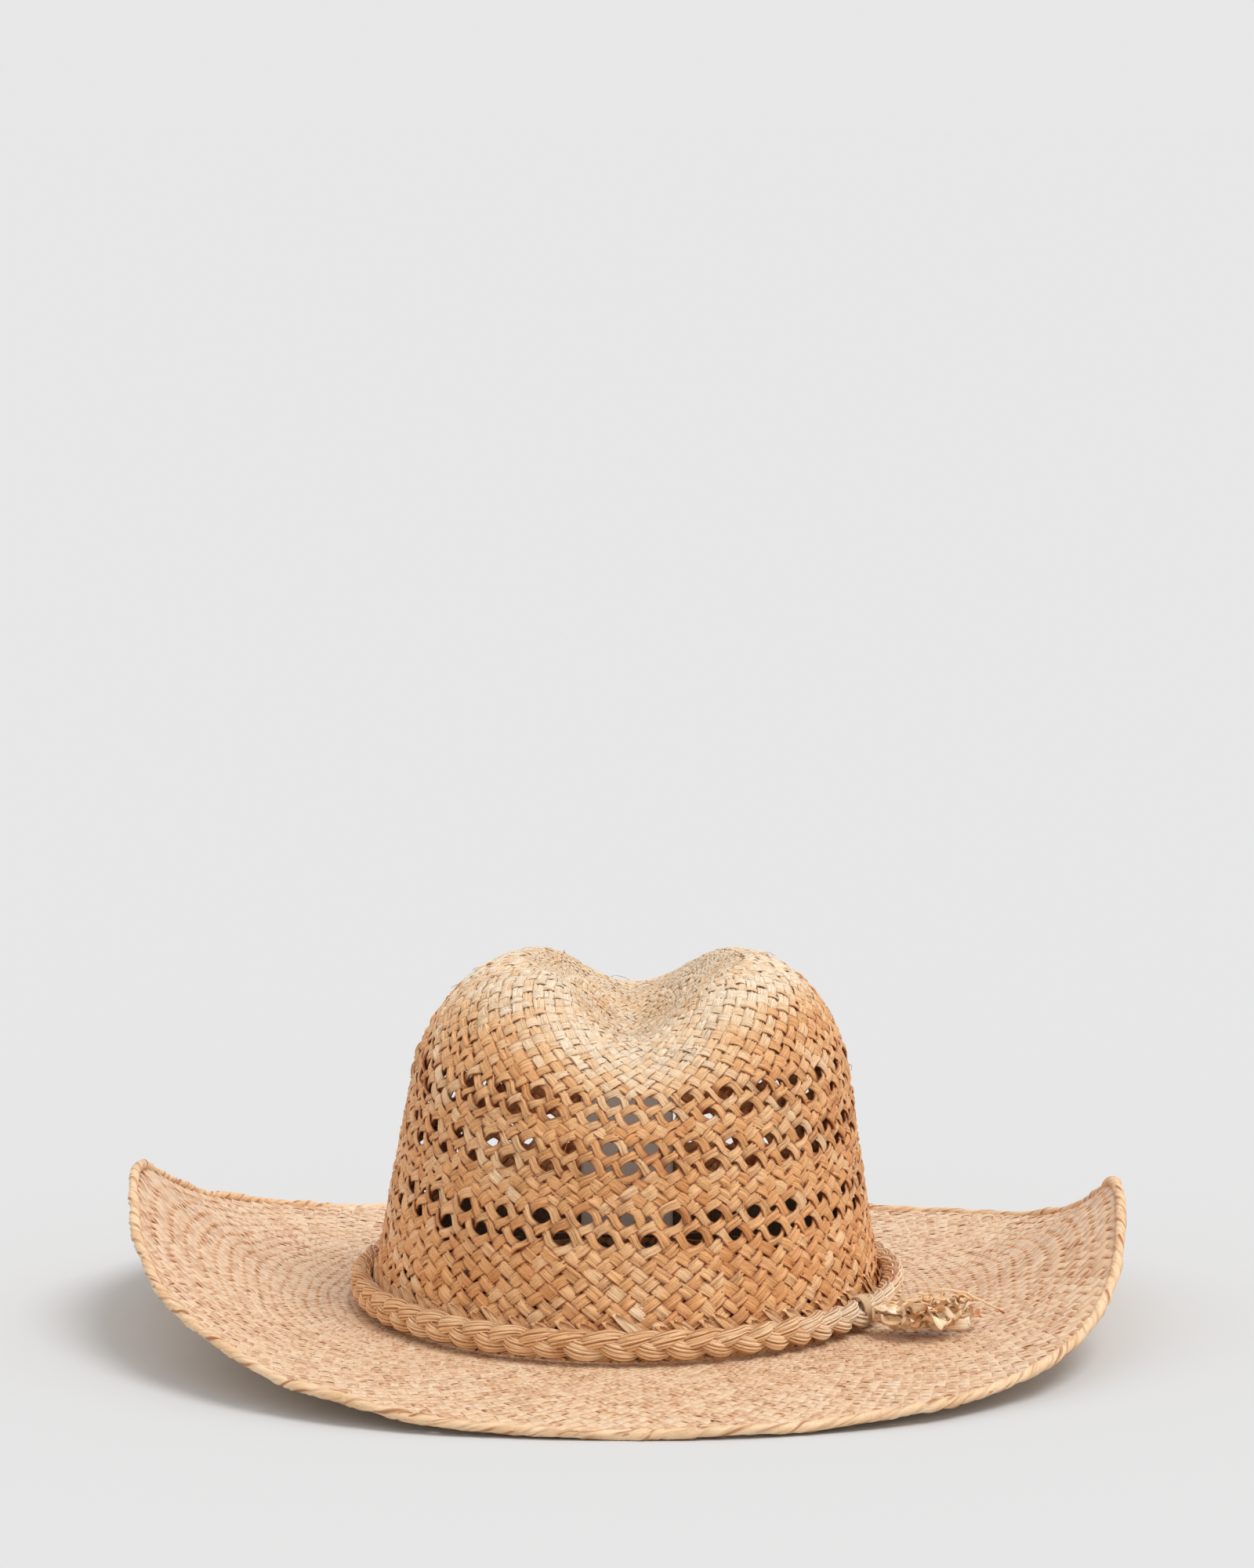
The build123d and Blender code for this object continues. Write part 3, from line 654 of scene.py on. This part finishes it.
def make_loose_fibres(crown, brim):
    """Frayed fibres that stand a little out of the weave."""
    stations = 18
    s = np.linspace(0, 1, stations)[None, :]
    places = ((crown, "crown_weave", 60, 6, 56), (brim, "brim_weave", 50, 2, 38))
    for surface, node, count, low, high in places:
        turn = rng.uniform(0, 2 * np.pi, (count, 1))
        row = rng.uniform(low, high, (count, 1))
        start = surface.point(turn, row)
        normal = surface.normal(turn, row)
        sideways = unit(np.cross(normal, [0, 0, 1.0]) + 1e-6)
        angle = rng.uniform(0, 2 * np.pi, (count, 1))[..., None]
        ahead = sideways * np.cos(angle) + np.cross(normal, sideways) * np.sin(angle)
        length = rng.uniform(3.0, 8.0, (count, 1))
        lift = 0.6 + rng.uniform(0.5, 1.6, (count, 1)) * np.sin(2.2 * s)
        centre = (start + ahead * (length * s)[..., None] + normal * lift[..., None]
                  + 0.25 * np.moveaxis(slow_noise((3, count), 3, stations), 0, -1))
        width = rng.uniform(0.25, 0.55, (count, 1)) * (1 - 0.6 * s)
        flat = np.full(width.shape, 0.12)
        rings, across = ribbon_rings(centre, np.broadcast_to(normal, centre.shape), width, flat, 0.1 * width,
                                     0.0 * width, 3, 0.6 * slow_noise((count,), 3, stations))
        marks = {"tint": rng.uniform(0.2, 0.8, (count, 1)), "depth": 0.4 * rng.random((count, 1))}
        piece = lofted(f"loose_fibres_{node}", rings, length * s, CROWN_STRAW, "hat", across,
                       marks)
        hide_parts(node)


def make_crown():
    """Both families of strips; returns the surface that they follow."""
    surface = crown_surface()
    pieces = crown_family(surface, 1, "crown_strips_rising_right")
    pieces += crown_family(surface, -1, "crown_strips_rising_left")
    for piece in pieces:
        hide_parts("crown_weave")
    return surface


# --- Brim ---
def brim_family(surface, last, way, name):
    """One diagonal family of the brim's strips, which keep their angle as the brim widens."""
    spacing = np.pi / BRIM_STRIPS
    made = []
    for sector in range(BRIM_SECTORS):
        count = BRIM_STRIPS // BRIM_SECTORS
        numbers = np.arange(sector * count, (sector + 1) * count)
        stations = int(last * 3)
        row = np.broadcast_to(np.linspace(0, last, stations), (count, stations)).copy()
        wander = 0.16 * slow_noise((count,), int(last / 4), stations)
        turn = 2 * spacing * numbers[:, None] + way * spacing * row + spacing * wander
        inside = smooth(row, 0, 5) * smooth(last - row, 0, 5)
        swirl = (np.sin(5 * turn + 0.21 * row) + np.sin(11 * turn - 0.35 * row + 1.7)
                 + np.sin(17 * turn + 0.5 * row))
        row_at = row + BRIM_SWIRL * inside * swirl
        per_turn, per_row = surface.scales(turn, row_at)
        half_across = spacing * per_turn
        pitch = 2 * half_across * per_row / np.hypot(half_across, per_row)
        own = 1 + 0.08 * rng.standard_normal((count, 1))
        width = pitch * 0.99 * own
        wave = way * np.cos(np.pi * row)
        normal = surface.normal(turn, row_at)
        centre = surface.point(turn, row_at) + normal * (BRIM_WAVE * pitch * wave)[..., None]
        roll = 0.05 * slow_noise((count,), int(last / 2), stations)
        crease = 0.028 * pitch
        rings, across = ribbon_rings(centre, normal, width, 0.09 * pitch, 0.05 * width, crease, 7, roll)
        along = np.cumsum(np.linalg.norm(np.gradient(centre, axis=1), axis=-1), 1)
        along = along + 100 * rng.random((count, 1))
        tint = 0.60 + 0.09 * rng.standard_normal((count, 1))
        tint = tint + 0.09 * slow_noise((count,), int(last / 3), stations)
        # painted shade along the strips' edges, much darker in short stretches at random crossings, and where
        # a strip goes under another
        painted_edge_shade = smooth(np.abs(2 * across - 1), 0.70, 1.0)
        painted_slit_shade = np.where(rng.random((count, stations // 3 + 2)) < PAINTED_SLIT_CHANCE, 0.9, 0.20)
        painted_slit_shade = painted_slit_shade[:, np.arange(stations) // 3]
        depth = 0.45 * under_crossing_shade(row, wave, count, 0.35, 0.25)[..., None] + painted_slit_shade[..., None] * painted_edge_shade
        marks = {"tint": np.clip(tint, 0, 1), "depth": np.clip(depth, 0, 1)}
        piece_name = f"{name}_{sector + 1}"
        made.append(lofted(piece_name, rings, along, BRIM_STRAW, "hat", across, marks))
    return made


def make_brim():
    """Both families of strips; returns the surface that they follow."""
    surface, last = brim_surface()
    pieces = brim_family(surface, last, 1, "brim_strips_turning_left")
    pieces += brim_family(surface, last, -1, "brim_strips_turning_right")
    for piece in pieces:
        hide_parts("brim_weave")
    return surface


# --- Edge roll ---
def loop_frame(points):
    """Outward and upward directions along a closed loop of points."""
    tangent = unit(np.roll(points, -1, 0) - np.roll(points, 1, 0))
    outward = unit(points * np.array([1, 1, 0]))
    outward = unit(outward - tangent * (outward * tangent).sum(-1, keepdims=True))
    return outward, np.cross(tangent, outward)


def near_sleeve(angles):
    """1 at the back, where the roll covers the wire's sleeve, and 0 elsewhere."""
    return smooth(np.sin(angles), 0.985, 0.997)


def edge_line(count):
    """The roll's slightly uneven middle line, its plan angles and its length."""
    angles, length = even_angles(count, EDGE, EDGE_SQUARENESS)
    radius = outline_radius(angles, EDGE, EDGE_SQUARENESS)
    x, y = radius * np.cos(angles), radius * np.sin(angles)
    uneven = 0.35 * (slow_noise((3,), 60, count, True) * (1 - near_sleeve(angles))).T
    return np.stack([x, y, brim_top(x, y) - ROLL_CENTRE_BELOW_TOP], -1) + uneven, angles, length


def bundle_section(points, stations, ridges, depth, closed=True):
    """Sections of a twisted bundle of straw: a circle with ridges that drift round it; (station, point)."""
    around = np.linspace(0, 2 * np.pi, points, endpoint=False)
    drift = 1.2 * slow_noise((), stations // 45, stations, closed)[:, None]
    second = 1.2 * slow_noise((), stations // 30, stations, closed)[:, None]
    ridge = np.cos(ridges * around + drift) + 0.6 * np.cos((ridges + 5) * around - second)
    return around, 1 + depth * ridge


def make_edge_roll():
    """Three bundles twisted round one another along the brim's edge."""
    stations = 2100
    line, angles, length = edge_line(stations)
    outward, upward = loop_frame(line)
    lobe = 5.5 + 4.0 * np.abs(np.sin(angles)) ** 2
    turns = np.cumsum(length / stations / (3 * lobe))
    turns *= np.round(turns[-1]) / turns[-1]
    sleeve = near_sleeve(angles)
    rings = []
    for strand in range(3):
        around, ridge = bundle_section(14, stations, 4, 0.07)
        phase = 2 * np.pi * (turns + strand / 3) + 0.45 * slow_noise((), 150, stations, True)
        swell = (0.94 + 0.12 * slow_noise((), 240, stations, True) * (1 - sleeve) + 0.14 * sleeve)[:, None]
        out = np.cos(phase)[:, None] * outward - np.sin(phase)[:, None] * upward
        side = np.sin(phase)[:, None] * outward + np.cos(phase)[:, None] * upward
        middle = line + 0.28 * out
        ring = (middle[:, None, :]
                + out[:, None, :] * (1.42 * swell * np.cos(around) * ridge)[..., None]
                + side[:, None, :] * (1.65 * swell * np.sin(around) * ridge)[..., None])
        rings.append(ring)
    along = np.arange(stations) * length / stations
    tint = np.stack([0.30 + 0.14 * slow_noise((), 150, stations, True) for _ in range(3)])
    patchy = smooth(slow_noise((3,), 180, stations, True), -0.4, 1.0)
    # painted shade where the twisted bundles press against each other, darker in patches
    painted_twist_shade = smooth(np.abs(np.sin(around)), 0.88, 1.0) * (0.25 + 0.75 * patchy)[..., None]
    marks = {"tint": np.clip(tint, 0, 1), "depth": painted_twist_shade}
    piece = lofted("edge_binding", np.stack(rings), along, EDGE_STRAW, "hat", None, marks, True)
    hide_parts("edge_roll")


# --- Hat band ---
BAND_MIDDLE_Z = (BAND_LOW[2] + BAND_HIGH[2]) / 2
BAND_THICKNESS = 6.0
BAND_HALF = BAND_HIGH[:2] - BAND_THICKNESS / 2
PLAIT_PERIOD = 33.0


def make_plait():
    """Three bundles of straw plaited round the crown, which cross outside on a rise and on a fall."""
    stations = 1500
    angles, length = even_angles(stations, BAND_HALF)
    radius = outline_radius(angles, BAND_HALF, 2)
    line = np.stack([radius * np.cos(angles), radius * np.sin(angles), np.full(stations, BAND_MIDDLE_Z)], -1)
    outward, upward = loop_frame(line)
    periods = round(length / PLAIT_PERIOD)
    steady = np.arange(stations) / stations
    along = steady * length
    for strand in range(3):
        around, ridge = bundle_section(60, stations, 11, 0.095)
        phase = 2 * np.pi * (periods * steady + strand / 3) + 0.14 * slow_noise((), 60, stations, True)
        rise = 2.5 * np.sin(phase)
        out = 1.6 * np.sin(2 * phase)
        middle = line + rise[:, None] * upward + out[:, None] * outward
        along_strand = unit(np.roll(middle, -1, 0) - np.roll(middle, 1, 0))
        side = unit(upward - along_strand * (upward * along_strand).sum(-1, keepdims=True))
        outer = np.cross(side, along_strand)
        swell = (0.95 + 0.07 * slow_noise((), 120, stations, True) + 0.13 * np.sin(2 * phase))[:, None]
        ring = (middle[:, None, :]
                + side[:, None, :] * (2.45 * swell * np.cos(around) * ridge)[..., None]
                + outer[:, None, :] * (1.9 * swell * np.sin(around) * ridge)[..., None])
        # painted light: the plait is made paler towards +X, the side that the sun shines from
        painted_sun_side_light = 0.45 * smooth(line[:, 0], 20, 85)
        tint = np.clip(0.50 + 0.09 * slow_noise((1,), 60, stations, True) + painted_sun_side_light, 0, 1)
        # painted shade in the hollows between each bundle's ridges and along its upper and lower sides, where
        # it meets the other bundles
        painted_hollow_shade = smooth(-ridge, -0.98, -0.89) * 0.9
        painted_meeting_shade = 0.75 * smooth(np.abs(np.cos(around)), 0.90, 1.0)
        marks = {"tint": tint, "depth": np.maximum(painted_hollow_shade, painted_meeting_shade)[None]}
        name = f"plait_strand_{strand + 1}"
        piece = lofted(name, ring[None], along, PLAIT_STRAW, "hat_band", None, marks, True)
        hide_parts("hat_band_plait")


# --- Tassel ---
KNOT = (KNOT_LOW + KNOT_HIGH) / 2
KNOT_RADIUS = (KNOT_HIGH[2] - KNOT_LOW[2]) / 2
TASSEL_HEADING = math.radians(-19)
TASSEL_TILT = math.radians(5)
TASSEL_ALONG = np.array([math.cos(TASSEL_TILT) * math.cos(TASSEL_HEADING),
                         math.cos(TASSEL_TILT) * math.sin(TASSEL_HEADING), math.sin(TASSEL_TILT)])
TASSEL_ACROSS = np.array([-math.sin(TASSEL_HEADING), math.cos(TASSEL_HEADING), 0])
TASSEL_UP = np.cross(TASSEL_ALONG, TASSEL_ACROSS)
STRAND_PLACES = ((12.0, 2.0, 6.0), (27.0, 3.0, 6.4), (40.0, 5.0, -2.0))


def from_tassel(local):
    """From (along, across, above) the tassel, measured from the knot, to the model's frame."""
    return KNOT + local @ np.stack([TASSEL_ALONG, TASSEL_ACROSS, TASSEL_UP])


def make_joint_wrap():
    """A strand wound round the plait where its ends meet and the tassel leaves it."""
    turns, per_turn = 5, 36
    stations = turns * per_turn
    angle = 2 * np.pi * np.arange(stations) / per_turn
    outward = unit(np.array([KNOT[0] / BAND_HALF[0] ** 2, KNOT[1] / BAND_HALF[1] ** 2, 0]))
    along = np.cross([0, 0, 1.0], outward)
    reach = BAND_THICKNESS / 2 + 0.4 + 0.9 + KNOT_RADIUS
    middle = KNOT - outward * reach
    spread = np.linspace(-2.6, 2.6, stations)
    half_deep, half_high = 3.5, 5.1
    centre = (middle + along * spread[:, None] + outward * (half_deep * np.cos(angle))[:, None]
              + np.array([0, 0, 1.0]) * (half_high * np.sin(angle))[:, None])
    normal = outward * np.cos(angle)[:, None] + np.array([0, 0, 1.0]) * np.sin(angle)[:, None]
    rings, across = ribbon_rings(centre[None], normal[None], np.full((1, stations), 1.2),
                                 np.full((1, stations), 0.5), np.full((1, stations), 0.25),
                                 np.full((1, stations), 0.08), 7)
    # painted shade along the edges of the winding's turns
    marks = {"tint": np.full((1, 1), 0.75), "depth": 0.7 * smooth(np.abs(2 * across - 1), 0.7, 1)[None, None]}
    piece = lofted("joint_winding", rings, angle, PLAIT_STRAW, "hat_band", across, marks)
    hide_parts("band_joint_wrap")


def make_tassel():
    """A wound knot, a bunch of crinkled cut ends and one long thin strand."""
    loops, stations = 7, 60
    t = np.linspace(0, 2 * np.pi, stations, endpoint=False)
    rings = []
    for loop in range(loops):
        place = -2.4 + 4.8 * loop / (loops - 1)
        radius = 0.75 * math.sqrt(KNOT_RADIUS ** 2 - place ** 2) - 0.4
        lean = 0.5 * math.sin(2.3 * loop)
        circle = np.stack([place + lean * np.cos(t), radius * np.cos(t), radius * np.sin(t)], -1)
        rings.append(from_tassel(circle))
    centre = np.stack(rings)
    out = unit(centre - KNOT)
    ahead = unit(np.roll(centre, -1, 1) - np.roll(centre, 1, 1))
    side = np.cross(ahead, out)
    around = np.linspace(0, 2 * np.pi, 12, endpoint=False)
    ring = (centre[..., None, :] + side[..., None, :] * (0.62 * np.cos(around))[:, None]
            + out[..., None, :] * (0.5 * np.sin(around))[:, None])
    marks = {"tint": rng.uniform(0.45, 0.9, (loops, 1)), "depth": np.zeros((loops, 1))}
    knot = lofted("tassel_knot", ring, t, TASSEL_STRAW, "tassel_root", None, marks, True)
    core_t = np.linspace(-1, 1, 9)
    core = from_tassel(np.stack([3.0 * core_t, np.zeros(9), np.zeros(9)], -1))
    girth = np.linspace(0, 2 * np.pi, 16, endpoint=False)
    thick = 2.2 * np.sqrt(1 - 0.93 * core_t ** 2)
    spokes = np.cos(girth)[:, None] * TASSEL_ACROSS + np.sin(girth)[:, None] * TASSEL_UP
    core_ring = core[:, None, :] + thick[:, None, None] * spokes
    marks = {"tint": np.full((1, 1), 0.4), "depth": np.full((1, 1), 0.6)}
    heart = lofted("tassel_knot_core", core_ring[None], core_t, TASSEL_STRAW, "tassel_root",
                   None, marks)
    for piece in (knot, heart):
        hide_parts("tassel_wrap")

    ends, stations = 46, 44
    s = np.linspace(0, 1, stations)[None, :]
    length = rng.uniform(18, 35, (ends, 1))
    spread = rng.uniform(-1, 1, (ends, 1))
    level = rng.uniform(-1, 1, (ends, 1))
    crinkle = 1.7 * s * (1.2 - 0.4 * s)
    x = -1.5 + length * s * (1 - 0.10 * np.abs(spread)) + 0.8 * crinkle * slow_noise((ends,), 9, stations)
    y = spread * (3.0 + 9.0 * s ** 0.8) + crinkle * slow_noise((ends,), 7, stations)
    z = level * (2.2 + 1.8 * s ** 0.6) - 0.6 * s + 0.9 * crinkle * slow_noise((ends,), 8, stations)
    curl = smooth(s, 0.72, 1.0) * rng.uniform(0, 1, (ends, 1))
    x = x - 3.5 * curl ** 2
    z = np.clip(z + 2.0 * curl, -3.6, 4.6)
    centre = from_tassel(np.stack([x, y, z], -1))
    roll = 0.9 * slow_noise((ends,), 6, stations) + rng.uniform(-0.5, 0.5, (ends, 1))
    width = rng.uniform(2.0, 4.8, (ends, 1)) * (0.45 + 0.55 * smooth(s, 0.05, 0.4)) * (1 + 0 * s)
    rings, across = ribbon_rings(centre, np.broadcast_to(TASSEL_UP, centre.shape), width,
                                 np.full(width.shape, 0.22), 0.12 * width, np.full(width.shape, 0.16), 9,
                                 roll)
    along = 30 * s + 100 * rng.random((ends, 1))
    tint = np.clip(rng.uniform(0.35, 1.0, (ends, 1)) + 0.12 * slow_noise((ends,), 5, stations), 0, 1)
    burnt = smooth(s, 0.93, 1.0) * (rng.random((ends, 1)) < 0.45)
    # painted shade along the edges of each ribbon
    painted_edge_shade = 0.5 * smooth(np.abs(2 * across - 1), 0.8, 1.0)
    marks = {"tint": tint, "depth": np.maximum(burnt[..., None], painted_edge_shade)}
    piece = lofted("tassel_crinkled_ends", rings, along, TASSEL_STRAW, "tassel_fan", across,
                   marks)
    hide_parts("tassel_ends")

    stations = 70
    s = np.linspace(0, 1, stations)
    start, middle, tip = (np.array(place) for place in STRAND_PLACES)
    bow = 2 * middle - (start + tip) / 2
    local = ((1 - s) ** 2)[:, None] * start + (2 * s * (1 - s))[:, None] * bow + (s ** 2)[:, None] * tip
    local = local + (0.35 * slow_noise((3,), 9, stations)).T
    centre = from_tassel(local)[None]
    width = (1.3 - 0.5 * s)[None]
    rings, across = ribbon_rings(centre, np.broadcast_to(TASSEL_UP, centre.shape), width,
                                 np.full(width.shape, 0.35), 0.2 * width, np.full(width.shape, 0.06), 7,
                                 0.7 * slow_noise((1,), 8, stations))
    marks = {"tint": np.full((1, 1), 0.55), "depth": smooth(s, 0.88, 0.95)[None]}
    piece = lofted("tassel_thin_strand", rings, 35 * s, TASSEL_STRAW, "tassel_fan", across,
                   marks)
    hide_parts("tassel_long_strand")


# --- Sweatband and label ---
def make_sweatband():
    """A ribbed ribbon that stands inside the foot of the crown."""
    ribs = 480
    stations = ribs * 4
    angles, length = even_angles(stations, SWEAT_HIGH[:2])
    height = SWEAT_HIGH[2] - SWEAT_LOW[2]
    low, high = SWEAT_LOW[2], SWEAT_HIGH[2]
    rib = 0.16 * np.cos(2 * np.pi * ribs * np.arange(stations) / stations)
    rings = []
    middle = low + height / 2
    for inset, z in ((0.15, low), (0.15, middle), (0.15, high), (0.95, high), (0.95, middle), (0.95, low)):
        share = 1 - WALL_TAPER * (z - FOOT_Z)
        half = SWEAT_HIGH[:2]
        radius = outline_radius(angles, half, 2) - inset + rib * (1 if inset < 0.5 else -1)
        rings.append(np.stack([radius * np.cos(angles) * share, radius * np.sin(angles) * share,
                               np.full(stations, z)], -1))
    rings = np.stack(rings, 1)[None]
    along = np.arange(stations) * length / stations
    piece = lofted("sweatband_ribbon", rings, along, RIBBON, "hat", None, None, True)
    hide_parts("sweatband")


def make_label():
    """A blank cloth label that leans against the crown's back, sewn at its lower edge."""
    columns, rows = 25, 33
    width = LABEL_HIGH[0] - LABEL_LOW[0]
    x = np.linspace(-width / 2, width / 2, columns)
    lean = (LABEL_HIGH[1] - LABEL_LOW[1] - 0.6) / (LABEL_HIGH[2] - LABEL_LOW[2])
    z = np.linspace(LABEL_LOW[2], LABEL_HIGH[2], rows)
    rings = []
    half = 0.18
    for level in z:
        up = level - LABEL_LOW[2]
        y = LABEL_HIGH[1] - 0.35 - lean * up + 0.4 * np.sin(x / width * 5 + level / 12) * (up / 50)
        back = np.stack([x, y + half, np.full(columns, level)], -1)
        front = np.stack([x[::-1], y[::-1] - half, np.full(columns, level)], -1)
        rings.append(np.concatenate([back, front]))
    rings = np.stack(rings)[None]
    piece = lofted("blank_label", rings, z, LABEL_CLOTH, "label")
    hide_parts("main_label")


def make_cad_finishes():
    """CAD nodes that show as they are get their materials."""
    for node, material in (("brim_wire", WIRE_STEEL), ("wire_sleeve", WIRE_STEEL),
                           ("sweatband_stitches", THREAD), ("label_stitches", THREAD)):
        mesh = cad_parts[node].data
        mesh.materials.clear()
        mesh.materials.append(material)


# --- Studio ---
SENSOR = 36
LENS_SHARE = 3.7  # focal length as a share of the picture's height
AIM_SHARE = 0.325  # the camera is aimed above the hat's foot by this share of the picture's height
CAMERA_DISTANCE = 2.0  # metres
CAMERA_ELEVATION = 12  # degrees
SKY = 0.80
SUN = 1.5
SUN_ANGLE = 30  # degrees; a wide sun throws soft shadows
SUN_DIRECTION = (0.62, -0.30, 1.35)  # from the hat towards the sun
FLOOR_SHADE = 0.652
FLOOR_HALF = 40.0  # metres


def make_studio():
    """Sky, a soft sun, a small warm light for what comes through the straw, and a pale floor."""
    scene = bpy.context.scene
    scene.view_settings.view_transform = "Standard"
    world = bpy.data.worlds.new("studio")
    world.use_nodes = True
    background = world.node_tree.nodes["Background"]
    background.inputs["Color"].default_value = (1, 1, 1, 1)
    background.inputs["Strength"].default_value = SKY
    scene.world = world
    sun = bpy.data.objects.new("key_light", bpy.data.lights.new("key_light", "SUN"))
    sun.data.energy = SUN
    sun.data.angle = math.radians(SUN_ANGLE)
    sun.rotation_euler = Vector(SUN_DIRECTION).to_track_quat("Z", "Y").to_euler()
    scene.collection.objects.link(sun)
    filtered = bpy.data.objects.new("light_through_straw", bpy.data.lights.new("light_through_straw", "AREA"))
    filtered.data.energy = 0.008
    filtered.data.size = 0.05
    filtered.data.color = (1.0, 0.78, 0.62)
    filtered.location = (0, 0.045, 0.050)
    filtered.rotation_euler = (math.pi / 2, 0, 0)
    scene.collection.objects.link(filtered)
    size = FLOOR_HALF
    mesh = bpy.data.meshes.new("floor")
    corners = [(-size, -size, 0), (size, -size, 0), (size, size, 0), (-size, size, 0)]
    mesh.from_pydata(corners, [], [(0, 1, 2, 3)])
    floor = bpy.data.objects.new("floor", mesh)
    scene.collection.objects.link(floor)
    n = Nodes("floor_paper")
    n.shader.inputs["Base Color"].default_value = (FLOOR_SHADE, FLOOR_SHADE, FLOOR_SHADE, 1)
    n.shader.inputs["Roughness"].default_value = 1.0
    n.shader.inputs["Specular IOR Level"].default_value = 0.0
    mesh.materials.append(n.material)


def make_camera():
    """The camera looks from the front and a little above, aimed high so that the hat sits low."""
    elevation = math.radians(CAMERA_ELEVATION)
    aim_up = math.atan(AIM_SHARE / LENS_SHARE)
    camera = bpy.data.objects.new("camera", bpy.data.cameras.new("camera"))
    camera.data.sensor_width = SENSOR
    camera.data.lens = SENSOR * LENS_SHARE
    pitch = elevation - aim_up
    target = Vector((0, 0, FOOT_Z * MM))
    camera.location = target + CAMERA_DISTANCE * Vector((0, -math.cos(elevation), math.sin(elevation)))
    camera.rotation_euler = (math.pi / 2 - pitch, 0, 0)
    bpy.context.scene.collection.objects.link(camera)
    bpy.context.scene.camera = camera


make_studio()
make_camera()
crown = make_crown()
make_foot_ends(crown)
brim = make_brim()
make_loose_fibres(crown, brim)
make_edge_roll()
make_plait()
make_joint_wrap()
make_tassel()
make_sweatband()
make_label()
make_cad_finishes()
